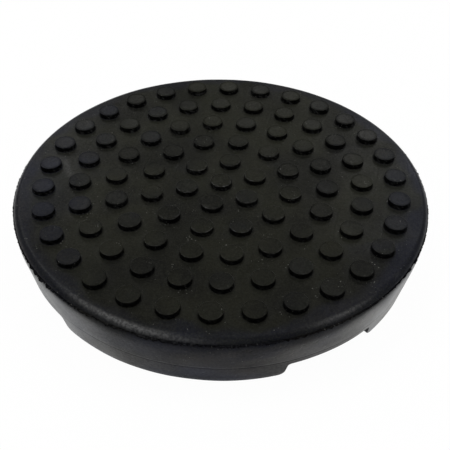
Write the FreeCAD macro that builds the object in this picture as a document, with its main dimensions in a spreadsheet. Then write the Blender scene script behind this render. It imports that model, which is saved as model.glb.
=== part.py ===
"""Round rubber jack pad for the arm of a vehicle lift: one compression moulding of black rubber.

The pad is a cap. Its top is a disc with a rounded edge, covered with rings of round studs that grip the sill of a
vehicle. A drafted skirt hangs from the parting line, and a round recess inside it slips over the round steel plate
of the lift arm. Four notches through the foot of the skirt leave four lugs, on which the pad stands by itself.

Frame: +Z up, origin at the centre of the circle that the four lugs stand on. A lug faces -Y and a notch lies on
each diagonal, so the pad is mirror symmetric in X and in Y. Millimetres and degrees.
"""
import FreeCAD, Part
import math
import os
import PartDesign
import Sketcher

# Driving dimensions
DIMENSIONS = [
    ("rim_diameter", 149.2, "across the moulded rim at the parting line, without the flash"),
    ("pad_height", 23.4, "from the lugs to the top plane between the studs"),
    ("edge_width", 2.7, "how far in from the rim the rounding of the top edge starts"),
    ("parting_depth", 2.0, "how far the parting line lies below the top plane"),
    ("flash_width", 0.45, "how far the trimmed flash stands out from the rim"),
    ("flash_thickness", 0.6, "thickness of the flash where it leaves the rim"),
    ("skirt_draft", 9.8, "mould draft of the skirt, in degrees"),
    ("skirt_wall", 9.9, "thickness of the skirt at its foot"),
    ("recess_depth", 12.0, "depth of the recess above the lugs' feet"),
    ("notch_count", 4, "notches around the foot of the skirt"),
    ("notch_angle", 27.0, "angle between a notch's end walls at the foot, in degrees"),
    ("notch_height", 5.7, "height of a notch's roof above the feet"),
    ("notch_draft", 9.5, "mould draft of a notch's end walls, in degrees"),
    ("notch_corner", 1.0, "radius between a notch's roof and its end walls"),
    ("lug_corner", 2.4, "radius of the lower corners of a lug"),
    ("foot_bevel", 0.6, "bevel along the outer edge of the feet and notches"),
    ("stud_pitch", 12.8, "spacing of the stud rings, and of the studs along a spoke"),
    ("stud_diameter", 8.0, "across a stud"),
    ("stud_flats", 16, "flats that make a stud's round wall, each about 1.6 mm wide"),
    ("stud_height", 2.0, "height of a stud above the top plane"),
    ("stud_land", 2.0, "least flat width between the outermost studs and the rounded edge"),
    ("spoke_count", 6, "straight spokes of studs, and studs that each ring adds to the last"),
]
SIZE = {name: value for name, value, meaning in DIMENSIONS}

# Directions that the frame fixes, in degrees from +X: the first notch and the first spoke of studs
FIRST_NOTCH = 45.0
FIRST_SPOKE = 90.0
UP = FreeCAD.Vector(0, 0, 1)

# Derived lengths, each as the formula that the features use and as its value
PARTING_HEIGHT = "(dims.pad_height - dims.parting_depth)"
RIM_RADIUS = "dims.rim_diameter / 2"
FOOT_RADIUS = f"({RIM_RADIUS} - {PARTING_HEIGHT} * tan(dims.skirt_draft))"
RECESS_RADIUS = f"({FOOT_RADIUS} - dims.skirt_wall)"
parting_height = SIZE["pad_height"] - SIZE["parting_depth"]
rim_radius = SIZE["rim_diameter"] / 2
foot_radius = rim_radius - parting_height * math.tan(math.radians(SIZE["skirt_draft"]))
recess_radius = foot_radius - SIZE["skirt_wall"]

doc = FreeCAD.newDocument("jack_pad")


def make_sheet():
    """Writes the driving dimensions into a spreadsheet, one named cell each."""
    sheet = doc.addObject("Spreadsheet::Sheet", "dims")
    for row, (name, value, meaning) in enumerate(DIMENSIONS, start=1):
        sheet.set(f"A{row}", name)
        sheet.set(f"B{row}", str(value))
        sheet.set(f"C{row}", meaning)
        sheet.setAlias(f"B{row}", name)
    doc.recompute()
    return sheet


def origin_feature(body, role):
    """The plane or axis of the body's own origin that has this role."""
    return next(item for item in body.Origin.OriginFeatures if item.Role == role)


def make_sketch(body, name, plane_role):
    """An empty sketch on one of the body's own origin planes."""
    sketch = body.newObject("Sketcher::SketchObject", name)
    sketch.AttachmentSupport = [(origin_feature(body, plane_role), "")]
    sketch.MapMode = "FlatFace"
    return sketch


def drive(sketch, name, expression, *constraint):
    """Adds a dimension to the sketch and ties it to the spreadsheet."""
    index = sketch.addConstraint(Sketcher.Constraint(*constraint))
    sketch.renameConstraint(index, name)
    sketch.setExpression(f"Constraints.{name}", expression)


def edge_names(shape, wanted):
    """The names of the shape's edges for which wanted(edge) holds."""
    return [f"Edge{number}" for number, edge in enumerate(shape.Edges, start=1) if wanted(edge)]


def ends(edge):
    """Radius and height of an edge's first, middle and last points."""
    low, high = edge.ParameterRange
    points = [edge.valueAt(low), edge.valueAt((low + high) / 2), edge.valueAt(high)]
    return [(math.hypot(point.x, point.y), point.z) for point in points]


def dress_edges(body, base, kind, name, wanted, prop, expression):
    """Rounds or bevels the edges of the base feature that wanted(edge) picks."""
    dressed = body.newObject(f"PartDesign::{kind}", name)
    dressed.Base = (base, edge_names(base.Shape, wanted))
    dressed.setExpression(prop, expression)
    doc.recompute()
    return dressed


def around_axis(body, features, name, count, expression):
    """Repeats features evenly around the vertical axis."""
    pattern = body.newObject("PartDesign::PolarPattern", name)
    pattern.Originals = features
    pattern.Axis = (origin_feature(body, "Z_Axis"), [""])
    pattern.Angle = 360
    pattern.Occurrences = count
    pattern.setExpression("Occurrences", expression)
    body.Tip = pattern
    doc.recompute()
    return pattern


def make_turned_section(body):
    """The half section of disc, rounded edge, flash, skirt and recess, turned about the vertical axis.

    The section runs from the recess's ceiling on the axis out and down its wall, along the foot, up the skirt,
    round the flash and the top edge, and back to the axis along the top plane.
    """
    sketch = make_sketch(body, "section", "XZ_Plane")
    top = SIZE["pad_height"]
    half_flash = SIZE["flash_thickness"] / 2
    depth = SIZE["recess_depth"]
    flat = rim_radius - SIZE["edge_width"]
    drop = top - parting_height - half_flash
    edge_radius = (SIZE["edge_width"] ** 2 + drop**2) / (2 * drop)
    sweep = math.asin(SIZE["edge_width"] / edge_radius)

    ceiling_axis = FreeCAD.Vector(0, depth, 0)
    wall_top = FreeCAD.Vector(recess_radius, depth, 0)
    foot_inside = FreeCAD.Vector(recess_radius, 0, 0)
    foot_outside = FreeCAD.Vector(foot_radius, 0, 0)
    flash_under = FreeCAD.Vector(rim_radius, parting_height - half_flash, 0)
    flash_tip = FreeCAD.Vector(rim_radius + SIZE["flash_width"], parting_height, 0)
    flash_over = FreeCAD.Vector(rim_radius, parting_height + half_flash, 0)
    flat_end = FreeCAD.Vector(flat, top, 0)
    top_axis = FreeCAD.Vector(0, top, 0)

    def line(start, end):
        return sketch.addGeometry(Part.LineSegment(start, end))

    ceiling = line(ceiling_axis, wall_top)
    wall = line(wall_top, foot_inside)
    foot = line(foot_inside, foot_outside)
    skirt = line(foot_outside, flash_under)
    flash_low = line(flash_under, flash_tip)
    flash_high = line(flash_tip, flash_over)
    edge_circle = Part.Circle(FreeCAD.Vector(flat, top - edge_radius, 0), UP, edge_radius)
    edge_arc = sketch.addGeometry(Part.ArcOfCircle(edge_circle, math.pi / 2 - sweep, math.pi / 2))
    top_line = line(flat_end, top_axis)
    axis_line = line(top_axis, ceiling_axis)

    # Point 1 is where a line or arc starts, 2 is where it ends, and -1 and -2 are the horizontal and vertical axes
    joined = [
        ("Coincident", ceiling, 2, wall, 1),
        ("Coincident", wall, 2, foot, 1),
        ("Coincident", foot, 2, skirt, 1),
        ("Coincident", skirt, 2, flash_low, 1),
        ("Coincident", flash_low, 2, flash_high, 1),
        ("Coincident", flash_high, 2, edge_arc, 1),
        ("Tangent", edge_arc, 2, top_line, 1),
        ("Coincident", top_line, 2, axis_line, 1),
        ("Coincident", axis_line, 2, ceiling, 1),
        ("Horizontal", ceiling),
        ("Vertical", wall),
        ("Horizontal", top_line),
        ("PointOnObject", axis_line, 1, -2),
        ("PointOnObject", axis_line, 2, -2),
        ("PointOnObject", foot, 1, -1),
        ("PointOnObject", foot, 2, -1),
    ]
    for constraint in joined:
        sketch.addConstraint(Sketcher.Constraint(*constraint))

    half = "dims.flash_thickness / 2"
    drive(sketch, "recess_depth", "dims.recess_depth", "DistanceY", -1, 1, ceiling, 1, depth)
    drive(sketch, "recess_radius", RECESS_RADIUS, "DistanceX", -1, 1, foot, 1, recess_radius)
    drive(sketch, "foot_radius", FOOT_RADIUS, "DistanceX", -1, 1, foot, 2, foot_radius)
    drive(sketch, "skirt_top", RIM_RADIUS, "DistanceX", -1, 1, skirt, 2, rim_radius)
    drive(sketch, "flash_bottom", f"{PARTING_HEIGHT} - {half}", "DistanceY", -1, 1, skirt, 2, flash_under.y)
    drive(sketch, "flash_reach", "dims.flash_width", "DistanceX", skirt, 2, flash_low, 2, SIZE["flash_width"])
    drive(sketch, "flash_height", PARTING_HEIGHT, "DistanceY", -1, 1, flash_low, 2, parting_height)
    drive(sketch, "rim_radius", RIM_RADIUS, "DistanceX", -1, 1, edge_arc, 1, rim_radius)
    drive(sketch, "flash_top", f"{PARTING_HEIGHT} + {half}", "DistanceY", -1, 1, edge_arc, 1, flash_over.y)
    drive(sketch, "edge_width", "dims.edge_width", "DistanceX", edge_arc, 2, edge_arc, 1, SIZE["edge_width"])
    drive(sketch, "pad_height", "dims.pad_height", "DistanceY", -1, 1, axis_line, 1, top)

    turned = body.newObject("PartDesign::Revolution", "turned_section")
    turned.Profile = sketch
    turned.ReferenceAxis = (sketch, ["V_Axis"])
    turned.Angle = 360
    doc.recompute()
    return turned


def make_notch_half(body, name, side):
    """Cuts the part of the first notch that lies next to one of its end walls.

    The sketch stands on the vertical plane whose normal is the end wall's own radius, so that the pocket leaves a
    flat radial wall with mould draft. The side is -1 for the wall nearer to +X and 1 for the other one.
    """
    half_angle = SIZE["notch_angle"] / 2
    sketch = make_sketch(body, f"{name}_section", "YZ_Plane")
    turn = FreeCAD.Rotation(FreeCAD.Vector(0, 1, 0), FIRST_NOTCH + side * half_angle)
    sketch.AttachmentOffset = FreeCAD.Placement(FreeCAD.Vector(0, 0, 0), turn)
    sketch.setExpression("AttachmentOffset.Rotation.Angle", f"{FIRST_NOTCH} + {side} * dims.notch_angle / 2")
    roof = SIZE["notch_height"]
    lean = roof * math.tan(math.radians(SIZE["notch_draft"]))
    middle = rim_radius * math.sin(math.radians(half_angle))
    corners = [
        FreeCAD.Vector(0, 0, 0),
        FreeCAD.Vector(-side * lean, roof, 0),
        FreeCAD.Vector(-side * middle, roof, 0),
        FreeCAD.Vector(-side * middle, 0, 0),
    ]
    sides = []
    for start, end in zip(corners, corners[1:] + corners[:1]):
        sides.append(sketch.addGeometry(Part.LineSegment(start, end)))
    for first, second in zip(sides, sides[1:] + sides[:1]):
        sketch.addConstraint(Sketcher.Constraint("Coincident", first, 2, second, 1))
    end_wall, roof_line, middle_line, foot_line = sides
    sketch.addConstraint(Sketcher.Constraint("Coincident", end_wall, 1, -1, 1))
    sketch.addConstraint(Sketcher.Constraint("Horizontal", roof_line))
    sketch.addConstraint(Sketcher.Constraint("Vertical", middle_line))
    sketch.addConstraint(Sketcher.Constraint("Horizontal", foot_line))
    across = [(end_wall, 1), (end_wall, 2)] if side < 0 else [(end_wall, 2), (end_wall, 1)]
    reach = [(end_wall, 1), (foot_line, 1)] if side < 0 else [(foot_line, 1), (end_wall, 1)]
    drive(sketch, "notch_height", "dims.notch_height", "DistanceY", end_wall, 1, end_wall, 2, roof)
    drive(sketch, "lean", "dims.notch_height * tan(dims.notch_draft)", "DistanceX", *across[0], *across[1], lean)
    to_middle = f"{RIM_RADIUS} * sin(dims.notch_angle / 2)"
    drive(sketch, "to_middle", to_middle, "DistanceX", *reach[0], *reach[1], middle)

    half = body.newObject("PartDesign::Pocket", name)
    half.Profile = sketch
    half.Type = "Length"
    half.Reversed = True
    half.setExpression("Length", RIM_RADIUS)
    doc.recompute()
    return half


def make_notches(body):
    """Four notches with drafted radial end walls, cut right through the foot of the skirt."""
    near = make_notch_half(body, "notch_near_x", -1)
    far = make_notch_half(body, "notch_near_y", 1)
    return around_axis(body, [near, far], "notches", SIZE["notch_count"], "dims.notch_count")


def round_feet(body, notched):
    """Rounds the notches' inner corners and the lugs' lower corners, and bevels the outer edge along both."""
    near = 0.01

    def roof_corner(edge):
        straight = isinstance(edge.Curve, (Part.Line, Part.LineSegment))
        return straight and all(abs(height - SIZE["notch_height"]) < near for radius, height in ends(edge))

    def lug_end(edge):
        (start, low), middle, (end, high) = ends(edge)
        across = abs(abs(start - end) - SIZE["skirt_wall"]) < near
        return across and abs(low) < near and abs(high) < near

    def outer_foot(edge):
        slope = (rim_radius - foot_radius) / (parting_height - SIZE["flash_thickness"] / 2)
        on_skirt = all(abs(radius - foot_radius - slope * height) < near for radius, height in ends(edge))
        return on_skirt and ends(edge)[1][1] < SIZE["notch_height"] + near

    corners = dress_edges(body, notched, "Fillet", "notch_corners", roof_corner, "Radius", "dims.notch_corner")
    lugs = dress_edges(body, corners, "Fillet", "lug_corners", lug_end, "Radius", "dims.lug_corner")
    return dress_edges(body, lugs, "Chamfer", "foot_bevel", outer_foot, "Size", "dims.foot_bevel")


def make_studs():
    """The studs, each a prism that stands on the top plane: one in the middle, and rings around it.

    Each ring adds one stud to every spoke's sector, and the rings go on as long as a stud has its land left.
    """
    room = rim_radius - SIZE["edge_width"] - SIZE["stud_land"] - SIZE["stud_diameter"] / 2
    ring_count = int(room // SIZE["stud_pitch"])
    studs = []
    for ring in range(ring_count + 1):
        for number in range(max(1, ring * SIZE["spoke_count"])):
            stud = doc.addObject("Part::Prism", f"stud_{ring}_{number}")
            stud.setExpression("Polygon", "dims.stud_flats")
            stud.setExpression("Circumradius", "dims.stud_diameter / 2")
            stud.setExpression("Height", "dims.stud_height")
            turn = f"({FIRST_SPOKE} + 360 * {number} / ({max(1, ring)} * dims.spoke_count))"
            stud.setExpression("Placement.Base.x", f"{ring} * dims.stud_pitch * cos({turn})")
            stud.setExpression("Placement.Base.y", f"{ring} * dims.stud_pitch * sin({turn})")
            stud.setExpression("Placement.Base.z", "dims.pad_height")
            studs.append(stud)
    return studs


def join_moulding(cap, studs):
    """The cap and its studs as the one solid that comes out of the mould."""
    moulding = doc.addObject("Part::MultiFuse", "jack_pad")
    moulding.Label = "jack_pad"
    moulding.Shapes = [cap] + studs
    moulding.Refine = False
    moulding.Placement = FreeCAD.Placement()
    doc.recompute()
    return moulding


def check_document(sub_parts):
    """Stops on any object that failed and on any sub-part that isn't one valid solid."""
    for item in doc.Objects:
        if "Invalid" in item.State or "Error" in item.State:
            raise RuntimeError(f"{item.Label} failed: {item.State}")
    for sketch in doc.findObjects("Sketcher::SketchObject"):
        if not sketch.FullyConstrained:
            raise RuntimeError(f"{sketch.Label} isn't fully constrained")
    for sub_part in sub_parts:
        shape = sub_part.Shape
        if shape.isNull() or not shape.isValid() or len(shape.Solids) != 1:
            raise RuntimeError(f"{sub_part.Label} isn't one valid solid")


def export(sub_parts):
    """Writes each sub-part to its own file and prints its size."""
    os.makedirs("parts", exist_ok=True)
    for sub_part in sub_parts:
        sub_part.Shape.exportStep(f"parts/{sub_part.Label}.step")
        box = sub_part.Shape.optimalBoundingBox(True, False)
        volume = sub_part.Shape.Volume / 1000
        print(f"{sub_part.Label}: {box.XLength:.2f} x {box.YLength:.2f} x {box.ZLength:.2f} mm, {volume:.1f} cm3")


make_sheet()
cap = doc.addObject("PartDesign::Body", "cap")
make_turned_section(cap)
round_feet(cap, make_notches(cap))
jack_pad = join_moulding(cap, make_studs())
check_document([jack_pad])
export([jack_pad])
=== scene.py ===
import math

import bpy
import numpy as np
from mathutils import Matrix, Vector
from mathutils.geometry import delaunay_2d_cdt


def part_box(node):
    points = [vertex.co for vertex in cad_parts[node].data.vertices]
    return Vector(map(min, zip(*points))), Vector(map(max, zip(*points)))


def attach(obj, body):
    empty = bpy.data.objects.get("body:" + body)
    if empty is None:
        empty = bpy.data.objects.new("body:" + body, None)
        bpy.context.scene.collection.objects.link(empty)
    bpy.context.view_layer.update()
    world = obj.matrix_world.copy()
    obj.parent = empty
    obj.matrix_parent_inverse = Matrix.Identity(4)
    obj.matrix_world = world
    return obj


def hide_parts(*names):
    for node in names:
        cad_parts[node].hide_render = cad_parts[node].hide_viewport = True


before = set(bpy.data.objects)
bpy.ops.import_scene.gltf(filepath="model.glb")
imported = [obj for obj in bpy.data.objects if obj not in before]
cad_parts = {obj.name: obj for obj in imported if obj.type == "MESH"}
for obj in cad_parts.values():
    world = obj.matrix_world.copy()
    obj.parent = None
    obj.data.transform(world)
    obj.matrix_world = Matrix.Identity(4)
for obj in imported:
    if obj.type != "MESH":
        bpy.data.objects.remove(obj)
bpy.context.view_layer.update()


# Outline of the skirt's foot
# The cap is one compression moulding of black rubber. Its skirt ends in four lugs with four notches between
# them, and the mould's core leaves each notch with drafted end walls and rounded corners. Lengths here are in
# millimetres, and MM carries them to metres.
MM = 0.001
stud_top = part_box("jack_pad")[1].z / MM
stud_height = 2.0
top_height = stud_top - stud_height
foot_radius = 70.9
notch_half_angle = 13.5
notch_height = 5.7
notch_draft = 9.5
notch_corner = 1.1
lug_corner = 2.4
first_notch = 45.0
notch_count = 4


def steered_path(start, legs):
    """Points and normals of a path in a plane that is steered by its heading.

    Each leg is (length, turn, steps). A straight leg adds equal steps along the heading. A leg with a turn is
    an arc: each step turns by an equal part, and its chord is twice the radius times the sine of half that
    part.
    """
    chords, headings, marks = [], [], [0.0]
    heading = 0.0
    for length, turn, steps in legs:
        part = turn / steps
        chord = length / steps if turn == 0 else 2 * (length / abs(turn)) * math.sin(abs(part) / 2)
        inside = heading + part * (np.arange(steps) + 0.5)
        chords.append(np.full(steps, chord))
        headings.append(inside)
        marks.extend(heading + part * (np.arange(steps) + 1))
        heading += turn
    chords = np.concatenate(chords)
    headings = np.concatenate(headings)
    steps_xy = np.stack([chords * np.cos(headings), chords * np.sin(headings)], axis=1)
    points = np.vstack([start, start + np.cumsum(steps_xy, axis=0)])
    marks = np.array(marks)
    normals = np.stack([-np.sin(marks), np.cos(marks)], axis=1)
    return points, normals


lean = math.radians(notch_draft)
corner_turn = math.pi / 2 - lean
half_width = foot_radius * math.radians(notch_half_angle)
roof_half = half_width - notch_height * math.tan(lean)
roof_cut = notch_corner * math.tan(corner_turn / 2)
lug_cut = lug_corner * math.tan(corner_turn / 2)
wall_length = notch_height / math.cos(lean) - roof_cut - lug_cut
lug_half = foot_radius * math.pi / notch_count - half_width - lug_cut
half_path, half_normals = steered_path(
    np.array([0.0, notch_height]),
    [
        (roof_half - roof_cut, 0.0, 14),
        (notch_corner * corner_turn, -corner_turn, 7),
        (wall_length, 0.0, 5),
        (lug_corner * corner_turn, corner_turn, 11),
        (lug_half, 0.0, 33),
    ],
)
mirror = np.array([-1.0, 1.0])
quarter_path = np.vstack([half_path[:0:-1] * mirror, half_path[:-1]])
quarter_normals = np.vstack([half_normals[:0:-1] * mirror, half_normals[:-1]])
quarter_turns = np.radians(first_notch) + np.arange(notch_count) * 2 * math.pi / notch_count
contour_angle = (quarter_turns[:, None] + quarter_path[None, :, 0] / foot_radius).ravel()
contour_height = np.tile(quarter_path[:, 1], notch_count)
normal_across = np.tile(quarter_normals[:, 0], notch_count)
normal_up = np.tile(quarter_normals[:, 1], notch_count)
columns = len(contour_angle)


# Skirt, lip and recess of the cap
# One turned skin. The rounded lip falls from the top to the parting line, the skirt below it has mould draft
# and a soft shoulder, and the recess inside slips over the round steel plate of the lift arm.
rim_radius = 74.35
lip_width = 2.45
lip_drop = 1.7
parting_height = 21.4
flash_thickness = 0.6
shoulder_angle = 32.0
shoulder_length = 1.5
draft_slope = 0.2033
witness_height = 8.4
groove_depth = 0.035
groove_width = 0.18
ring_step = 0.02
ring_step_width = 0.12
skirt_wave = 0.035
skirt_wave_length = 26.0
wave_fade = 3.0
foot_round = 0.28
inner_round = 0.6
recess_radius = 61.0
recess_depth = 12.0
recess_round = 1.5
ceiling_radii = (59.2, 40.0, 20.0, 4.0)
fan_height = 8.6
even_share = 0.8


def gentle_waves(x, y, seed, size, count=24):
    """A smooth random height over the plane: a sum of sine waves of random heading, length and phase.

    The sum is divided by the root of half their count, so that its spread is about one.
    """
    draw = np.random.RandomState(seed)
    heading = draw.uniform(0, 2 * math.pi, count)
    length = size * draw.uniform(0.6, 1.8, count)
    phase = draw.uniform(0, 2 * math.pi, count)
    total = np.zeros(np.broadcast(x, y).shape)
    for turn, wave, shift in zip(heading, length, phase):
        total += np.sin((x * math.cos(turn) + y * math.sin(turn)) * 2 * math.pi / wave + shift)
    return total / math.sqrt(count / 2)


def skirt_radius(angle, height):
    """Radius of the skirt at a height above the feet.

    A draft line, plus a shoulder that dies away downwards as one less an exponential, minus a fine groove
    where the mould's lower ring met its upper one, plus the small step of the lower ring, plus a slow
    waviness of the skin that fades towards the parting line.
    """
    depth = parting_height - flash_thickness / 2 - height
    shoulder = math.radians(shoulder_angle) * shoulder_length * (1 - np.exp(-depth / shoulder_length))
    groove = groove_depth * np.exp(-(((height - witness_height) / groove_width) ** 2))
    below = ring_step / (1 + np.exp((height - witness_height) / ring_step_width))
    across = rim_radius * np.cos(angle)
    along = rim_radius * np.sin(angle) + height
    wave = skirt_wave * gentle_waves(across, along, 11, skirt_wave_length)
    wave = wave * np.clip(depth / wave_fade, 0, 1)
    return rim_radius - draft_slope * depth + shoulder - groove + below + wave


def smooth_step(value):
    """Zero below 0, one above 1, and the cubic 3t2 - 2t3 between."""
    t = np.clip(value, 0, 1)
    return t * t * (3 - 2 * t)


even_angle = contour_angle[0] + np.arange(columns) * 2 * math.pi / columns
top_angle = contour_angle + even_share * (even_angle - contour_angle)
lip_radius = (lip_width**2 + lip_drop**2) / (2 * lip_drop)
lip_sweep = math.asin(lip_width / lip_radius)
flat_radius = rim_radius - lip_width
fill_inset = 0.4
fill_radius = flat_radius - fill_inset
hollow_depth = 0.05
hollow_inset = 1.2
hollow_width = 0.8
swell_height = 0.03
swell_length = 30.0
ripple_height = 0.012
ripple_length = 7.0


def top_wave(x, y):
    """Height of the moulded top above its plane: slow waviness and a slight hollow just inside the lip."""
    radius = np.hypot(x, y)
    hollow = hollow_depth * np.exp(-(((radius - flat_radius + hollow_inset) / hollow_width) ** 2))
    swell = swell_height * gentle_waves(x, y, 5, swell_length)
    ripple = ripple_height * gentle_waves(x, y, 6, ripple_length)
    return swell + ripple - hollow


def ring_row(angle, radius, height):
    """One row of the skin: points at these angles, radii and heights."""
    radius = np.broadcast_to(radius, angle.shape)
    height = np.broadcast_to(height, angle.shape)
    return np.stack([radius * np.cos(angle), radius * np.sin(angle), height], axis=1)


rows = []


def top_row(radius, drop):
    """A row near the rim's top: it follows the waviness of the top, which fades with the drop."""
    x = radius * np.cos(top_angle)
    y = radius * np.sin(top_angle)
    rows.append(ring_row(top_angle, radius, top_height - drop + top_wave(x, y) * math.exp(-drop)))


top_row(fill_radius, 0.0)
for step in np.linspace(0, 1, 9) * lip_sweep:
    top_row(flat_radius + lip_radius * math.sin(step), lip_radius * (1 - math.cos(step)))

shift = normal_across / foot_radius
upper_heights = [21.1, 20.9, 20.6, 20.2, 19.6, 18.8, 17.7, 16.3, 14.6, 12.8, 11.1, 9.6]
witness_heights = witness_height + np.array([0.9, 0.55, 0.35, 0.2, 0.08, -0.08, -0.2, -0.35, -0.6])
offset_angle = contour_angle + shift * foot_round
offset_height = contour_height + normal_up * foot_round
for height in upper_heights + list(witness_heights):
    even = smooth_step((height - fan_height) / (upper_heights[0] - fan_height))
    angle = offset_angle + (top_angle - offset_angle) * even
    rows.append(ring_row(angle, skirt_radius(angle, height), height))
for part in np.linspace(0, 1, 6)[1:-1]:
    height = witness_heights[-1] + (offset_height - witness_heights[-1]) * part
    rows.append(ring_row(offset_angle, skirt_radius(offset_angle, height), height))
for turn in np.linspace(0, math.pi / 2, 7):
    reach = foot_round * (1 - math.sin(turn))
    angle = contour_angle + shift * reach
    height = contour_height + normal_up * reach
    rows.append(ring_row(angle, skirt_radius(angle, height) - foot_round * (1 - math.cos(turn)), height))
outer = np.hypot(rows[-1][:, 0], rows[-1][:, 1])
for part in (0.04, 0.35, 0.65, 0.96):
    radius = outer + (recess_radius + inner_round - outer) * part
    rows.append(ring_row(contour_angle, radius, contour_height))
for turn in np.linspace(math.pi / 2, 0, 5):
    reach = inner_round * (1 - math.sin(turn))
    radius = recess_radius + inner_round * (1 - math.cos(turn))
    rows.append(ring_row(contour_angle + shift * reach, radius, contour_height + normal_up * reach))
start_height = contour_height + normal_up * inner_round
wall_top = recess_depth - recess_round
for part in (0.1, 0.3, 0.6, 0.9):
    angle = contour_angle + shift * inner_round
    rows.append(ring_row(angle, recess_radius, start_height + (wall_top - start_height) * part))
for turn in np.linspace(0, math.pi / 2, 6):
    radius = recess_radius - recess_round * (1 - math.cos(turn))
    rows.append(ring_row(top_angle, radius, wall_top + recess_round * math.sin(turn)))
for radius in ceiling_radii:
    rows.append(ring_row(top_angle, radius, recess_depth))


def grid_faces(row_count, column_count, first=0):
    """Quads of a skin whose rows close on themselves, wound so that they face out of the moulding."""
    row = np.arange(row_count - 1)[:, None] * column_count
    column = np.arange(column_count)[None, :]
    after = (column + 1) % column_count
    below = row + column_count
    quads = np.stack([row + column, below + column, below + after, row + after], axis=2)
    return quads.reshape(-1, 4) + first


skin_points = np.vstack(rows)
skin_quads = grid_faces(len(rows), columns)
centre_index = len(skin_points)
last_row = (len(rows) - 1) * columns + np.arange(columns)
skin_points = np.vstack([skin_points, [[0, 0, recess_depth]]])
centre_fan = np.stack([last_row, np.full(columns, centre_index), np.roll(last_row, -1)], axis=1)


# Studs of the grip
# Round studs are moulded in one with the cap, on rings that each add one stud per sector. Work has chipped
# and rubbed their rims, most of all near the middle, where the vehicle's sill presses.
stud_radius = 4.0
stud_pitch = 12.8
stud_foot = 0.12
stud_rim = 0.15
stud_draft = 0.05
ring_total = 5
spokes = 6
first_spoke = 90.0
stud_segments = 36
lift_spread = 0.03
tilt_spread = 0.006
size_spread = 0.004
wear_reach = 34.0
bites_of_stud = 3
least_bite = 0.08
middle_bite = 0.4
bite_drop = 0.6
middle_dip = 0.02


def stud_places():
    """Centres of the studs: ring n holds six times n of them, evenly spaced, the first on the Y axis."""
    places = [(0.0, 0.0)]
    for ring in range(1, ring_total + 1):
        count = ring * spokes
        turns = np.radians(first_spoke) + np.arange(count) * 2 * math.pi / count
        places.extend(zip(ring * stud_pitch * np.cos(turns), ring * stud_pitch * np.sin(turns)))
    return np.array(places)


centres = stud_places()
stud_count = len(centres)
draw = np.random.RandomState(31)
stud_turn = np.arange(stud_segments) * 2 * math.pi / stud_segments
stud_lift = draw.normal(0, lift_spread, stud_count)
stud_tilt = draw.normal(0, tilt_spread, (stud_count, 2))
stud_size = 1 + draw.normal(0, size_spread, stud_count)
nearness = np.exp(-((np.hypot(centres[:, 0], centres[:, 1]) / wear_reach) ** 2))


def rim_wear():
    """How far each stud's rim is chipped at each angle: bell-shaped bites, deeper near the pad's middle."""
    bites = np.zeros((stud_count, stud_segments))
    for _ in range(bites_of_stud):
        where = draw.uniform(0, 2 * math.pi, (stud_count, 1))
        width = draw.uniform(0.12, 0.5, (stud_count, 1))
        most = least_bite + middle_bite * nearness[:, None]
        deep = draw.uniform(0, 1, (stud_count, 1)) ** 3 * most
        gap = np.angle(np.exp(1j * (stud_turn[None, :] - where)))
        bites += deep * np.exp(-((gap / width) ** 2))
    return bites


bites = rim_wear()
# Places where a rim is torn, as x, y and the depth of the tear.
torn_places = [
    (10.6, 5.3, 0.9),
    (0.1, 37.9, 0.7),
    (13.2, 35.1, 0.9),
    (0.4, 11.3, 0.9),
    (-10.8, 5.7, 0.7),
    (-12.4, 21.0, 0.7),
]
torn_width = 1.5
rim_x = centres[:, :1] + stud_radius * np.cos(stud_turn)
rim_y = centres[:, 1:] + stud_radius * np.sin(stud_turn)
torn_bites = np.zeros_like(bites)
for torn_x, torn_y, torn_depth in torn_places:
    gap = np.hypot(rim_x - torn_x, rim_y - torn_y)
    torn_bites += torn_depth * np.exp(-((gap / torn_width) ** 2)) * (0.4 + draw.uniform(0, 1.2, bites.shape))
bites = np.clip(bites + torn_bites, 0, 1.1)
stud_rows = []
rim_marks = []


def stud_row(radius, height, bite_share, mark):
    """One row of every stud: a circle of this radius at this height, drawn in where the rim is bitten."""
    reach = radius * stud_size[:, None] - bites * bite_share
    x = centres[:, :1] + reach * np.cos(stud_turn)
    y = centres[:, 1:] + reach * np.sin(stud_turn)
    base = top_height + top_wave(x, y)
    tilt = stud_tilt[:, :1] * (x - centres[:, :1]) + stud_tilt[:, 1:] * (y - centres[:, 1:])
    grown = height / stud_height
    z = base + height + grown * (stud_lift[:, None] + tilt) - bites * bite_share * bite_drop * grown
    stud_rows.append(np.stack([x, y, z], axis=2))
    rim_marks.append(np.full((stud_count, stud_segments), mark))


for turn in np.linspace(0, math.pi / 2, 4):
    stud_row(stud_radius + stud_foot * (1 - math.sin(turn)), stud_foot * (1 - math.cos(turn)), 0.0, 0.0)
stud_row(stud_radius - stud_draft * 0.4, stud_height * 0.42, 0.0, 0.0)
stud_row(stud_radius - stud_draft * 0.7, stud_height * 0.66, 0.1, 0.1)
stud_row(stud_radius - stud_draft, stud_height - 1.4 * stud_rim, 0.4, 0.35)
for turn in np.linspace(0, math.pi / 2, 4):
    radius = stud_radius - stud_draft - stud_rim * (1 - math.cos(turn))
    stud_row(radius, stud_height - stud_rim * (1 - math.sin(turn)), 1.0, 1.0)
stud_row(stud_radius - 0.5, stud_height, 0.5, 0.35)
for part, dip in ((0.68, 0.015), (0.60, 0.03), (0.3, middle_dip)):
    stud_row(stud_radius * part, stud_height - dip, 0.0, 0.0)
stud_grid = np.stack(stud_rows, axis=1)
row_total = stud_grid.shape[1]
stud_block = row_total * stud_segments + 1
middle_height = top_height + top_wave(centres[:, 0], centres[:, 1]) + stud_height - middle_dip + stud_lift
middle_points = np.column_stack([centres, middle_height])
stud_points = np.concatenate([stud_grid.reshape(stud_count, -1, 3), middle_points[:, None, :]], axis=1)
stud_points = stud_points.reshape(-1, 3)
stud_first = len(skin_points)
one_stud = grid_faces(row_total, stud_segments)[:, ::-1]
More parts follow.
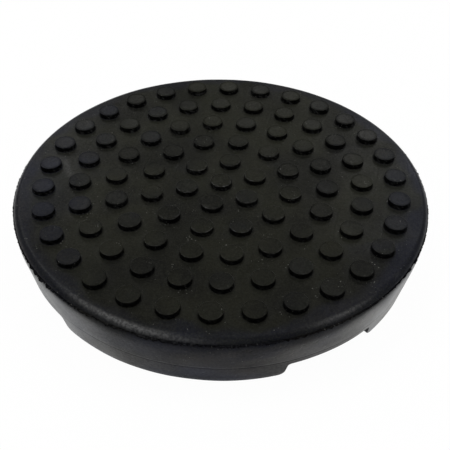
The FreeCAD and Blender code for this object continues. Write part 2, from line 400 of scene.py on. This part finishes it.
block_starts = stud_first + np.arange(stud_count) * stud_block
stud_quads = (one_stud[None, :, :] + block_starts[:, None, None]).reshape(-1, 4)
top_ring = (row_total - 1) * stud_segments + np.arange(stud_segments)
one_cap = np.stack([top_ring, np.roll(top_ring, -1), np.full(stud_segments, stud_block - 1)], axis=1)
stud_caps = (one_cap[None, :, :] + block_starts[:, None, None]).reshape(-1, 3)


# Top between the studs
# The flat ground of the grip fills the room between the studs' feet and the lip. It is laid out as a net of
# even triangles that meets both without a gap.
ground_spacing = 1.9
ground_clear = stud_radius + stud_foot + 0.9
lip_clear = 1.0
spare_rows = 6
support_gap = 0.3


def stud_gaps(points):
    """Distance in the plane from every point to the centre of every stud."""
    away = points[:, None, :] - centres[None, :, :]
    return np.hypot(away[:, :, 0], away[:, :, 1])


def ground_points():
    """An even triangular lattice inside the lip, without the points that come too near a stud."""
    reach = int(fill_radius / ground_spacing) + 2
    lines = reach + spare_rows
    column, row = np.meshgrid(np.arange(-reach, reach + 1), np.arange(-lines, lines + 1))
    x = ground_spacing * (column + 0.5 * (row % 2))
    y = ground_spacing * row * math.sqrt(3) / 2
    points = np.column_stack([x.ravel(), y.ravel()])
    inside = np.hypot(points[:, 0], points[:, 1]) < fill_radius - lip_clear
    return points[inside & (stud_gaps(points).min(axis=1) > ground_clear)]


lip_ring = skin_points[:columns, :2]
foot_rings = stud_grid[:, 0, :, :2]
support_reach = stud_radius + stud_foot + support_gap
support_x = centres[:, :1] + support_reach * np.cos(stud_turn)
support_y = centres[:, 1:] + support_reach * np.sin(stud_turn)
support = np.stack([support_x, support_y], axis=2).reshape(-1, 2)
free = np.vstack([support, ground_points()])
flat = np.vstack([lip_ring, foot_rings.reshape(-1, 2), free])
ring_starts = columns + np.arange(stud_count) * stud_segments
ring_edges = np.stack([np.arange(stud_segments), (np.arange(stud_segments) + 1) % stud_segments], axis=1)
fixed = (ring_edges[None] + ring_starts[:, None, None]).reshape(-1, 2)
rim_edges = np.stack([np.arange(columns), (np.arange(columns) + 1) % columns], axis=1)
constraints = np.vstack([rim_edges, fixed]).tolist()
net = delaunay_2d_cdt([Vector(point) for point in flat], constraints, [], 0, 1e-6)
net_points = np.array([tuple(point) for point in net[0]])
net_faces = np.array(net[2])
source = np.array([origins[0] if len(origins) else -1 for origins in net[3]])
middle_of_face = net_points[net_faces].mean(axis=1)
nearest_stud = (stud_gaps(middle_of_face) / stud_size).min(axis=1)
# A hair less than a foot's circle, because the flats of its ring cut inside it.
foot_limit = (stud_radius + stud_foot) * 0.995
net_faces = net_faces[nearest_stud > foot_limit]
ground_first = stud_first + len(stud_points)
stud_ring_index = block_starts[:, None] + np.arange(stud_segments)[None, :]
place = np.concatenate([
    np.arange(columns),
    stud_ring_index.ravel(),
    ground_first + np.arange(len(free)),
])
ground_faces = place[source[net_faces]]
ground_xyz = np.column_stack([free, top_height + top_wave(free[:, 0], free[:, 1])])
a, b, c = (net_points[net_faces[:, k]] for k in range(3))
clockwise = np.cross(b - a, c - a) < 0
ground_faces[clockwise] = ground_faces[clockwise][:, ::-1]


# Whole moulding
# The skin, the studs and the ground between them share their edge points, so the pad is one closed mesh.
# Wear, bloom, haze and film, with painted highlights, shade and sheen, are laid on its points as shares, for
# the rubber's material to read. The marks are placed by azimuths in degrees and by radii or heights in
# millimetres.


def solid_mesh(name, points, face_groups):
    """A smooth mesh in metres from points in millimetres and arrays of triangles or quads."""
    mesh = bpy.data.meshes.new(name)
    sizes = np.concatenate([np.full(len(group), group.shape[1]) for group in face_groups])
    corners = np.concatenate([group.ravel() for group in face_groups])
    mesh.vertices.add(len(points))
    mesh.vertices.foreach_set("co", (points * MM).astype(np.float32).ravel())
    mesh.loops.add(len(corners))
    mesh.loops.foreach_set("vertex_index", corners.astype(np.int32))
    mesh.polygons.add(len(sizes))
    starts = np.concatenate([[0], np.cumsum(sizes)[:-1]])
    mesh.polygons.foreach_set("loop_start", starts.astype(np.int32))
    mesh.polygons.foreach_set("use_smooth", np.ones(len(sizes), bool))
    mesh.update(calc_edges=True)
    mesh.validate()
    piece = bpy.data.objects.new(name, mesh)
    bpy.context.scene.collection.objects.link(piece)
    return piece


pad_points = np.vstack([skin_points, stud_points, ground_xyz])
pad = solid_mesh("moulded_pad", pad_points, [skin_quads, centre_fan, stud_quads, stud_caps, ground_faces])
pad_angle = np.degrees(np.arctan2(pad_points[:, 1], pad_points[:, 0]))
pad_reach = np.hypot(pad_points[:, 0], pad_points[:, 1])
pad_height = pad_points[:, 2]


def bell(value, centre, width):
    """A bell curve: one at the centre, and e to minus the square of the distance in widths from it."""
    return np.exp(-(((value - centre) / width) ** 2))


def ring_bell(angle, centre, width):
    """A bell curve around the axis, in degrees, that closes on itself."""
    return bell((angle - centre + 180) % 360 - 180, 0.0, width)


def paint(piece, name, values):
    """Store one number for every point of the piece for its material to read."""
    layer = piece.data.attributes.new(name, "FLOAT", "POINT")
    layer.data.foreach_set("value", values.astype(np.float32))


def stud_values(values, middle=0.0):
    """One number for every point of the studs: for each stud its rows, then the middle of its top."""
    ends = np.full((stud_count, 1), middle)
    return np.concatenate([values.reshape(stud_count, -1), ends], axis=1).ravel()


def of_row(values, first=0):
    """A share for each row of a stud's points, from its foot up, as an array that fits all studs."""
    shares = np.zeros((1, row_total, 1))
    shares[0, first:first + len(values), 0] = values
    return shares


# The camera stands at about -76 degrees: these are the ways to its right and away from it. The marks that use
# them, here and below, are painted light, shade and sheen fitted to the greys of that one view, and stay on
# the pad in every other.
front_turn = math.radians(14.0)
right_way = np.array([math.cos(front_turn), math.sin(front_turn)])
far_way = np.array([-math.sin(front_turn), math.cos(front_turn)])
studded_reach = 62.0
on_studs = slice(stud_first, ground_first)
on_skin = np.arange(len(pad_points)) < stud_first
on_ground = np.arange(len(pad_points)) >= ground_first
above = pad_height > parting_height
on_top = on_skin & above | on_ground
rim_share = np.stack(rim_marks, axis=1)
stud_far = np.clip(centres @ far_way / studded_reach, -1, 1)

# The walls of the studs are painted black as painted shade, and clean rubber shows in their bitten rims.
wall_draw = 1 - 0.85 * draw.uniform(0, 1, rim_share.shape) ** 3
wall_shade_share = of_row((0.0, 0.8, 1.0, 1.0, 1.0, 0.8, 0.4, 0.1), 1)
stud_wall_shade_and_bites = wall_shade_share * wall_draw + 1.2 * bites[:, None, :] * (rim_share > 0.3)

# Pale painted highlights run along the front of the lip and thinly along its inner edge, and one rubbed smear
# crosses the ground at the left.
highlight_reach = 73.4 + 0.035 * (pad_angle + 96.0)
left_lip_highlight = 1.15 * ring_bell(pad_angle, -98.0, 15.0) * bell(pad_reach, highlight_reach, 0.75)
right_lip_highlight = 0.62 * ring_bell(pad_angle, -45.0, 8.0) * bell(pad_reach, 73.3, 0.6)
side_highlight_line = 0.16 * ring_bell(pad_angle, -128.0, 34.0) * bell(pad_reach, 72.2, 0.25)
lip_highlight_line = 0.03 * bell(pad_reach, 72.5, 0.5) + side_highlight_line
wear_and_highlight_share = on_skin * above * (left_lip_highlight + right_lip_highlight + lip_highlight_line)
smear_way = pad_points[:, 1] + 5.5 + 0.75 * (pad_points[:, 0] + 57.5) - 1.5 * np.sin(pad_points[:, 0] * 0.6)
smear = bell(pad_points[:, 0], -58.0, 6.0) * bell(smear_way, 0.0, 1.6)
wear_and_highlight_share = wear_and_highlight_share + on_ground * 0.40 * smear

# The ground around the feet of the studs is painted paler, as painted light in their shade. Chips, partly a
# painted highlight, dot their rims, and painted glints dot their rims and walls. Both are strongest on the
# side that faces the camera, and the glints grow on the studs far from it.
wear_and_highlight_share[ground_first:] += 0.045 * smooth_step((6.8 - stud_gaps(free).min(axis=1)) / 2.3)
front_side = 0.35 + 0.65 * np.clip(np.cos(stud_turn - math.radians(-76.0)), 0, 1)
chip_draw = draw.uniform(0, 1, rim_share.shape)
chip_share = 0.12 + 0.75 * nearness[:, None, None]
chips = front_side * np.where(chip_draw > 0.75, 1.0, 0.06) * rim_share * chip_share
glint_share = of_row((0.20, 0.20, 0.16, 0.10, 0.10, 0.10), 2)
glint_draw = draw.uniform(0, 1, rim_share.shape)
painted_glints = 0.33 * (glint_draw < glint_share) * front_side
# The foot rows of every stud get a little painted light as well.
painted_glints[:, :2] += 0.05
painted_glints *= (1 + 0.7 * stud_far)[:, None, None]
wear_and_highlight_share[on_studs] = stud_values(chips + painted_glints)

# The haze on the skirt carries a painted sheen: it is thinner at two places and thicker at three, all fitted
# to the camera's view.
on_skirt = on_skin & ~above & (pad_height > 0.2) & (pad_reach > 66)
left_dip = 0.38 * ring_bell(pad_angle, -105.0, 22.0)
right_dip = 0.20 * ring_bell(pad_angle, -27.0, 15.0)
front_rise = 0.26 * ring_bell(pad_angle, -62.0, 10.0)
side_rise = 0.40 * ring_bell(pad_angle, -144.0, 13.0) + 0.40 * ring_bell(pad_angle, -2.0, 9.0)
haze_and_sheen_share = 0.96 * on_skirt * (1 - left_dip - right_dip + front_rise + side_rise)

# A thin film lies on everything that faces up. It is thin on the lip, and thickest on the tops of the studs
# that are far from the camera, where the extra film is a painted sheen.
film_and_sheen_share = above.astype(float)
top_film = np.broadcast_to(of_row((1.0, 1.0, 1.0), row_total - 3), rim_share.shape)
film_and_sheen_share[on_studs] = stud_values(top_film, 1.0)
film_and_sheen_share[on_studs] *= np.repeat(1 + 0.9 * np.clip(stud_far, 0, 1), stud_block)
film_and_sheen_share[on_skin] *= 1 - 0.7 * smooth_step((pad_reach[on_skin] - 71.5) / 2)

# Blue-grey bloom sits thinly on the whole skirt, on the edge of the top and on single studs. A painted sheen
# adds to it on the skirt where it faces the camera, on the top's left and right as the camera sees them, and
# on the studs to the camera's left and right.
skirt_bloom_and_sheen = on_skirt * (0.15 + 0.85 * ring_bell(pad_angle, -74.0, 34.0))
edge_way = pad_reach + 1.3 * gentle_waves(pad_points[:, 0], pad_points[:, 1], 17, 22.0)
edge_bloom = smooth_step((edge_way - 67.0) / 3.6) * on_top
outer_share = smooth_step((pad_reach - 40) / 30)
left_painted_sheen = 0.5 * ring_bell(pad_angle, 195.0, 30.0) * outer_share
right_painted_sheen = 0.32 * ring_bell(pad_angle, 0.0, 34.0) * outer_share
across = centres @ right_way
sideways = np.where(across < 0, -across, 0.55 * across)
stud_bloom_and_sheen = draw.uniform(-0.35, 0.25, stud_count) + 0.7 * (sideways / studded_reach) ** 1.5
bloom_and_sheen_share = skirt_bloom_and_sheen + (0.65 * edge_bloom + left_painted_sheen + right_painted_sheen) * above
bloom_and_sheen_share[on_studs] += np.repeat(stud_bloom_and_sheen, stud_block)

# Painted shade darkens the skirt just under the flash, the front of the lip and the ground near the camera;
# the rest of the ground is a little darker too.
clean_and_shade_share = np.zeros(len(pad_points))
clean_and_shade_share[on_studs] = stud_values(stud_wall_shade_and_bites)
clean_and_shade_share[on_skin] += 0.45 * bell(pad_height[on_skin], parting_height - 0.7, 0.7)
clean_and_shade_share += 0.15 * on_top * bell(pad_reach, 71.3, 1.6) * ring_bell(pad_angle, -82.0, 40.0)
near_ground = smooth_step((-(pad_points[:, :2] @ far_way) - 5.0) / 50.0)
clean_and_shade_share += (0.05 + 0.20 * near_ground) * (pad_height > top_height - 0.3) * (pad_reach < fill_radius)
for name, values, most in (
    ("pale_wear_and_highlight", wear_and_highlight_share, 1.0),
    ("bloom_and_sheen", bloom_and_sheen_share, 1.0),
    ("clean_and_shade", clean_and_shade_share, 1.0),
    ("haze_and_sheen", haze_and_sheen_share, 1.4),
    ("film_and_sheen", film_and_sheen_share, 1.9),
):
    paint(pad, name, np.clip(values, 0, most))
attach(pad, "root")
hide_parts("jack_pad")


# Flash at the parting line
# A thin torn skin of rubber stands out where the two halves of the mould met. It was trimmed by hand, so its
# width wanders, and two longer shreds were left at the sides.
flash_columns = 2600
ring_waves = 40
coarse_rag = 0.12
fine_rag = 0.11
least_flash = 0.22
front_flash = 0.58
narrowest_flash = 0.10
widest_flash = 1.4
root_depth = 0.35
flash_angle = np.arange(flash_columns) * 2 * math.pi / flash_columns
# The longer shreds: azimuth and half width in degrees, and how much further they reach.
shreds = [(-127.0, 6.0, 0.50), (-17.0, 7.0, 0.22)]


def ring_noise(angle, seed, low_wave, high_wave):
    """A random wave around the ring: sines with whole numbers of turns, so that its ends meet."""
    draw = np.random.RandomState(seed)
    total = np.zeros(len(angle))
    for _ in range(ring_waves):
        total += np.sin(angle * draw.randint(low_wave, high_wave) + draw.uniform(0, 2 * math.pi))
    return total / math.sqrt(ring_waves / 2)


ragged = ring_noise(flash_angle, 3, 8, 60) * coarse_rag + ring_noise(flash_angle, 4, 90, 520) * fine_rag
front_share = ring_bell(np.degrees(flash_angle), -80.0, 60.0)
flash_reach = least_flash + front_flash * front_share + ragged * (0.15 + 1.15 * front_share)
for where, spread, extra in shreds:
    gap = np.degrees(np.angle(np.exp(1j * (flash_angle - math.radians(where)))))
    torn = np.clip(0.5 + ring_noise(flash_angle, 8, 20, 140) * 0.7, 0, 2)
    flash_reach += extra * torn * np.exp(-((gap / spread) ** 4))
flash_reach = np.clip(flash_reach, narrowest_flash, widest_flash)
droop = ring_noise(flash_angle, 5, 20, 260) * 0.13 - 0.10 * np.clip(flash_reach - 0.5, 0, 2)
# Section of the flash, over its tip and back: share of its reach, height, and share of its droop. The first
# and last points are its root, sunk into the skin.
section = [
    (-1.0, 0.26, 0.0),
    (0.10, 0.14, 0.2),
    (0.75, 0.06, 0.8),
    (1.0, 0.0, 1.0),
    (0.75, -0.06, 0.8),
    (0.10, -0.14, 0.2),
    (-1.0, -0.28, 0.0),
]
flash_rows = []
for reach_share, side, free_share in section:
    reach = -root_depth if reach_share < 0 else reach_share * flash_reach
    flash_rows.append(ring_row(flash_angle, rim_radius + reach, parting_height + side + droop * free_share))
flash_points = np.vstack(flash_rows)
flash_quads = grid_faces(len(section), flash_columns)
last = (len(section) - 1) * flash_columns
around = np.arange(flash_columns)
after = (around + 1) % flash_columns
closing = np.stack([last + around, around, after, last + after], axis=1)
flash = solid_mesh("parting_flash", flash_points, [flash_quads, closing])
flash_turns = np.tile(flash_angle, len(section))
# Pale painted highlight specks dot the flash, which is painted the deepest black as shade along the parting
# line.
flash_highlight_specks = np.clip(ring_noise(flash_turns, 9, 60, 700) - 1.9, 0, 0.6)
for name, share in (("pale_wear_and_highlight", flash_highlight_specks), ("bloom_and_sheen", 0.6), ("haze_and_sheen", 0.0), ("film_and_sheen", 0.0), ("clean_and_shade", 1.0)):
    paint(flash, name, np.broadcast_to(share, len(flash_points)))
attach(flash, "root")
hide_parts("jack_pad")


# Rubber of the pad
# Black natural rubber with a satin skin. Bloom and handling leave cloudy olive and blue-grey patches, pale
# rubbed rims, fine scratches and specks of dust, and a dry haze greys the skirt. Painted highlights lie on
# the lip, the stud rims and walls and the flash, painted shade darkens the stud walls, the skirt under the
# flash and the ground near the camera, and a painted sheen rides on the haze, film and bloom.
rubber = bpy.data.materials.new("satin_black_rubber")
rubber.use_nodes = True
rubber_tree = rubber.node_tree
nodes = rubber_tree.nodes
links = rubber_tree.links
shader = nodes["Principled BSDF"]
coordinates = nodes.new("ShaderNodeTexCoord")


def noise(scale, detail, stretch=(1, 1, 1), turn=0.0):
    """Cloudy noise on the pad's own coordinates, stretched and turned about the vertical axis."""
    mapping = nodes.new("ShaderNodeMapping")
    mapping.inputs["Scale"].default_value = stretch
    mapping.inputs["Rotation"].default_value = (0, 0, turn)
    links.new(coordinates.outputs["Object"], mapping.inputs["Vector"])
    cloud = nodes.new("ShaderNodeTexNoise")
    cloud.inputs["Scale"].default_value = scale
    cloud.inputs["Detail"].default_value = detail
    links.new(mapping.outputs["Vector"], cloud.inputs["Vector"])
    return cloud.outputs["Fac"]


def span(value, low_in, high_in, low_out=0.0, high_out=1.0):
    """The value carried from one range to another, with its ends held."""
    change = nodes.new("ShaderNodeMapRange")
    change.interpolation_type = "SMOOTHSTEP"
    change.inputs["From Min"].default_value = low_in
    change.inputs["From Max"].default_value = high_in
    change.inputs["To Min"].default_value = low_out
    change.inputs["To Max"].default_value = high_out
    links.new(value, change.inputs["Value"])
    return change.outputs["Result"]


def combine(tree, operation, first, second):
    """Two values, each a socket or a number, put together by a math node of this tree."""
    step = tree.nodes.new("ShaderNodeMath")
    step.operation = operation
    for slot, value in enumerate((first, second)):
        if isinstance(value, (int, float)):
            step.inputs[slot].default_value = value
        else:
            tree.links.new(value, step.inputs[slot])
    return step.outputs["Value"]


def times(first, second):
    """Product of two values of the rubber."""
    return combine(rubber_tree, "MULTIPLY", first, second)


def plus(first, second):
    """Sum of two values of the rubber."""
    return combine(rubber_tree, "ADD", first, second)


def tint(under, over, share):
    """The colour under with the colour over laid on it by a share."""
    blend = nodes.new("ShaderNodeMix")
    blend.data_type = "RGBA"
    for socket, colour in ((blend.inputs["A"], under), (blend.inputs["B"], over)):
        if isinstance(colour, tuple):
            socket.default_value = (*colour, 1)
        else:
            links.new(colour, socket)
    links.new(share, blend.inputs["Factor"])
    return blend.outputs["Result"]


def mark(name):
    """The share that was painted on the points under this name."""
    layer = nodes.new("ShaderNodeAttribute")
    layer.attribute_name = name
    return layer.outputs["Fac"]


skin_black = (0.0034, 0.0036, 0.0031)
olive = (0.0099, 0.0103, 0.0069)
blue_grey = (0.0068, 0.0074, 0.0106)
haze_grey = (0.054, 0.060, 0.098)
haze_tan = (0.086, 0.078, 0.066)
deepest_black = (0.0011, 0.0011, 0.0013)
grain_pale = (0.031, 0.031, 0.023)
pale_wear_and_highlight = (0.088, 0.088, 0.088)
dust = (0.20, 0.20, 0.18)
pale_grain_share = 0.33
dark_grain_share = 0.35
scratch_share = 0.30
speck_share = 0.45
clouds = span(noise(38.0, 4.0), 0.36, 0.62)
colour = tint(skin_black, olive, clouds)
patches = span(noise(55.0, 4.0, (1.0, 1.5, 1.0), 0.7), 0.54, 0.70, 0.0, 0.32)
colour = tint(colour, blue_grey, span(plus(mark("bloom_and_sheen"), patches), 0.0, 1.0))
grain = span(noise(2000.0, 3.0), 0.42, 0.72)
colour = tint(colour, grain_pale, times(grain, pale_grain_share))
dark_grain = span(noise(1100.0, 2.0, (1, 1, 1), 1.1), 0.50, 0.70)
colour = tint(colour, deepest_black, times(dark_grain, dark_grain_share))
# The haze colour is laid by the haze share, with its painted sheen.
haze_and_sheen = tint(haze_grey, haze_tan, span(noise(34.0, 3.0), 0.50, 0.66))
stains = span(noise(45.0, 5.0, (1.0, 1.0, 2.6)), 0.36, 0.64, 0.0, 0.08)
colour = tint(colour, haze_and_sheen, times(mark("haze_and_sheen"), stains))
# Painted shade and clean rubber darken the colour to the deepest black; pale wear and painted highlights
# lighten it.
colour = tint(colour, deepest_black, mark("clean_and_shade"))
edge_wear_and_highlight = times(mark("pale_wear_and_highlight"), span(noise(1300.0, 4.0), 0.36, 0.66, 0.35, 1.0))
colour = tint(colour, pale_wear_and_highlight, edge_wear_and_highlight)
scratch = span(noise(620.0, 1.0, (1.0, 0.035, 1.0), 0.5), 0.64, 0.74)
colour = tint(colour, pale_wear_and_highlight, times(times(scratch, patches), scratch_share))
specks = nodes.new("ShaderNodeTexVoronoi")
specks.inputs["Scale"].default_value = 900.0
links.new(coordinates.outputs["Object"], specks.inputs["Vector"])
speck_size = span(noise(210.0, 3.0), 0.42, 0.74, 0.0, 0.18)
close = combine(rubber_tree, "LESS_THAN", specks.outputs["Distance"], speck_size)
colour = tint(colour, dust, times(close, speck_share))
links.new(colour, shader.inputs["Base Color"])

# Haze and film are dull seen straight on, and gain gloss towards a flat angle.
bare_gloss = 0.03
glow_gloss = 0.47
haze_sheen = 0.10
film_sheen = 0.03
facing = nodes.new("ShaderNodeLayerWeight")
facing.inputs["Blend"].default_value = 0.5
haze_glow = times(mark("haze_and_sheen"), span(facing.outputs["Facing"], 0.51, 0.94, 0.0, 1.1))
film_glow = times(mark("film_and_sheen"), span(facing.outputs["Facing"], 0.29, 0.60, 0.0, 0.21))
fine_mottle = span(noise(1250.0, 3.0), 0.3, 0.7, 0.70, 1.35)
gloss = times(plus(times(plus(haze_glow, film_glow), glow_gloss), bare_gloss), fine_mottle)
links.new(gloss, shader.inputs["Specular IOR Level"])
violet = (0.52, 0.60, 1.0)
tan = (1.0, 0.93, 0.82)
ivory = (1.0, 0.99, 0.85)
pale_green = (0.95, 1.0, 0.97)
cloudy_sheen = tint(violet, tan, span(noise(26.0, 4.0, (1.0, 1.0, 2.4), 0.3), 0.42, 0.62))
plain_sheen = tint(ivory, pale_green, mark("haze_and_sheen"))
sheen = tint(plain_sheen, cloudy_sheen, mark("bloom_and_sheen"))
links.new(sheen, shader.inputs["Specular Tint"])
links.new(sheen, shader.inputs["Sheen Tint"])
sheen_amount = plus(times(mark("haze_and_sheen"), haze_sheen), times(mark("film_and_sheen"), film_sheen))
dust_clouds = span(noise(75.0, 5.0, (1.0, 1.0, 2.0)), 0.34, 0.66, 0.45, 1.55)
links.new(times(sheen_amount, dust_clouds), shader.inputs["Sheen Weight"])
shader.inputs["Sheen Roughness"].default_value = 0.45
roughness = plus(span(noise(60.0, 4.0), 0.35, 0.70, 0.30, 0.42), times(edge_wear_and_highlight, 0.15))
links.new(roughness, shader.inputs["Roughness"])
relief = plus(times(noise(700.0, 3.0), 0.35), times(noise(160.0, 2.0), 0.65))
relief = plus(relief, times(scratch, -0.5))
bump = nodes.new("ShaderNodeBump")
bump.inputs["Strength"].default_value = 0.35
bump.inputs["Distance"].default_value = 0.00013
links.new(relief, bump.inputs["Height"])
links.new(bump.outputs["Normal"], shader.inputs["Normal"])
pad.data.materials.append(rubber)
flash.data.materials.append(rubber)


# Floor, light and camera
# A white table under soft boxes. The floor shows plain white and keeps a faint shadow under the pad.
floor_radius = 3.0
flat_share = 0.7
rim_rise = 0.12
floor_sides = 96
floor_white = 0.975
sky_light = 0.03


def floor_point(turn, part):
    """A disc that curves up at its rim: flat for most of its radius, then a quarter of an ellipse."""
    bend_share = 1 - flat_share
    flat_part = np.minimum(part / flat_share, 1.0) * flat_share
    bend = np.clip((part - flat_share) / bend_share, 0, 1) * math.pi / 2
    radius = floor_radius * (flat_part + bend_share * np.sin(bend))
    x = radius * np.cos(turn)
    height = floor_radius * rim_rise * (1 - np.cos(bend))
    return np.stack([x, radius * np.sin(turn), np.broadcast_to(height, x.shape)], axis=-1)


turns = np.arange(floor_sides) * 2 * math.pi / floor_sides
parts = np.concatenate([np.linspace(0.002, flat_share, 12), np.linspace(flat_share + 0.02, 1.0, 12)])
floor_grid = floor_point(turns[None, :], parts[:, None]).reshape(-1, 3)
floor_faces = grid_faces(len(parts), len(turns))
floor_points = np.vstack([floor_grid, [[0, 0, 0]]])
hub = np.full(len(turns), len(floor_grid))
floor_fan = np.stack([hub, np.arange(len(turns)), np.roll(np.arange(len(turns)), -1)], axis=1)
floor = solid_mesh("floor", floor_points / MM, [floor_faces, floor_fan])

paper = bpy.data.materials.new("white_table")
paper.use_nodes = True
paper_nodes = paper.node_tree.nodes
paper_links = paper.node_tree.links
paper_nodes.clear()
plain = paper_nodes.new("ShaderNodeBsdfDiffuse")
plain.inputs["Color"].default_value = (0.80, 0.80, 0.80, 1)
glow = paper_nodes.new("ShaderNodeEmission")
glow.inputs["Color"].default_value = (1, 1, 1, 1)
glow.inputs["Strength"].default_value = 1.0
path = paper_nodes.new("ShaderNodeLightPath")
seen = combine(paper.node_tree, "MAXIMUM", path.outputs["Is Camera Ray"], path.outputs["Is Glossy Ray"])
seen = combine(paper.node_tree, "MAXIMUM", seen, path.outputs["Is Transmission Ray"])
white_share = combine(paper.node_tree, "MULTIPLY", seen, floor_white)
surface = paper_nodes.new("ShaderNodeMixShader")
paper_links.new(white_share, surface.inputs["Fac"])
paper_links.new(plain.outputs["BSDF"], surface.inputs[1])
paper_links.new(glow.outputs["Emission"], surface.inputs[2])
ending = paper_nodes.new("ShaderNodeOutputMaterial")
paper_links.new(surface.outputs["Shader"], ending.inputs["Surface"])
floor.data.materials.append(paper)

world = bpy.data.worlds.new("studio")
world.use_nodes = True
bpy.context.scene.world = world
sky = world.node_tree.nodes
sky_links = world.node_tree.links
sky.clear()
dim = sky.new("ShaderNodeBackground")
dim.inputs["Color"].default_value = (1, 1, 1, 1)
dim.inputs["Strength"].default_value = sky_light
bright = sky.new("ShaderNodeBackground")
bright.inputs["Color"].default_value = (1, 1, 1, 1)
bright.inputs["Strength"].default_value = 1.0
sky_path = sky.new("ShaderNodeLightPath")
choice = sky.new("ShaderNodeMixShader")
sky_links.new(sky_path.outputs["Is Camera Ray"], choice.inputs["Fac"])
sky_links.new(dim.outputs["Background"], choice.inputs[1])
sky_links.new(bright.outputs["Background"], choice.inputs[2])
sky_end = sky.new("ShaderNodeOutputWorld")
sky_links.new(choice.outputs["Shader"], sky_end.inputs["Surface"])


camera_yaw = 14.09


def soft_box(name, side, rise, distance, size, radiance, matt=1.0, glossy=1.0):
    """A square lamp that faces the pad, by its azimuth from the camera's right and its rise from the floor.

    A flat lamp sends out its radiance times its area times pi watts.
    """
    turn = math.radians(camera_yaw + side)
    climb = math.radians(rise)
    away = Vector((math.cos(turn) * math.cos(climb), math.sin(turn) * math.cos(climb), math.sin(climb)))
    lamp = bpy.data.lights.new(name, "AREA")
    lamp.shape = "SQUARE"
    lamp.size = size
    lamp.energy = radiance * math.pi * size * size
    lamp.diffuse_factor = matt
    lamp.specular_factor = glossy
    holder = bpy.data.objects.new(name, lamp)
    towards_pad = away.to_track_quat("Z", "Y").to_matrix().to_4x4()
    holder.matrix_world = Matrix.Translation(away * distance) @ towards_pad
    bpy.context.scene.collection.objects.link(holder)


soft_box("left_box", 163.0, 70.0, 1.3, 0.46, 9.5, matt=0.85)
soft_box("right_box", 17.0, 67.0, 1.3, 0.34, 9.0)
soft_box("left_wall", 178.0, 40.0, 1.5, 1.2, 0.9, matt=0.4)
soft_box("right_wall", 2.0, 40.0, 1.5, 1.2, 0.9, matt=0.4)
soft_box("left_window", 118.0, 36.0, 1.5, 0.6, 1.8, matt=0.1)
soft_box("right_window", 62.0, 38.0, 1.5, 0.6, 2.6, matt=0.1)
soft_box("back_wall", 90.0, 54.0, 1.6, 1.0, 1.1, matt=0.5)
soft_box("front_wall", 270.0, 35.0, 1.8, 1.6, 0.9, matt=0.25)
soft_box("ceiling", 250.0, 80.0, 1.4, 0.9, 0.9, glossy=0.0)

camera_place = (0.05788, -0.22404, 0.20733)
camera_tilt = 41.35
camera_roll = 0.877
sensor = 36.0
focal_pixels = 810.8
frame_pixels = 450
camera = bpy.data.cameras.new("camera")
camera.sensor_width = sensor
camera.lens = sensor * focal_pixels / frame_pixels
camera.clip_start = 0.01
camera_holder = bpy.data.objects.new("camera", camera)
yaw = Matrix.Rotation(math.radians(camera_yaw), 4, "Z")
tilt = Matrix.Rotation(math.radians(90 - camera_tilt), 4, "X")
roll = Matrix.Rotation(math.radians(camera_roll), 4, "Z")
camera_holder.matrix_world = Matrix.Translation(camera_place) @ (yaw @ tilt) @ roll
bpy.context.scene.collection.objects.link(camera_holder)
bpy.context.scene.camera = camera_holder
bpy.context.scene.view_settings.view_transform = "Standard"
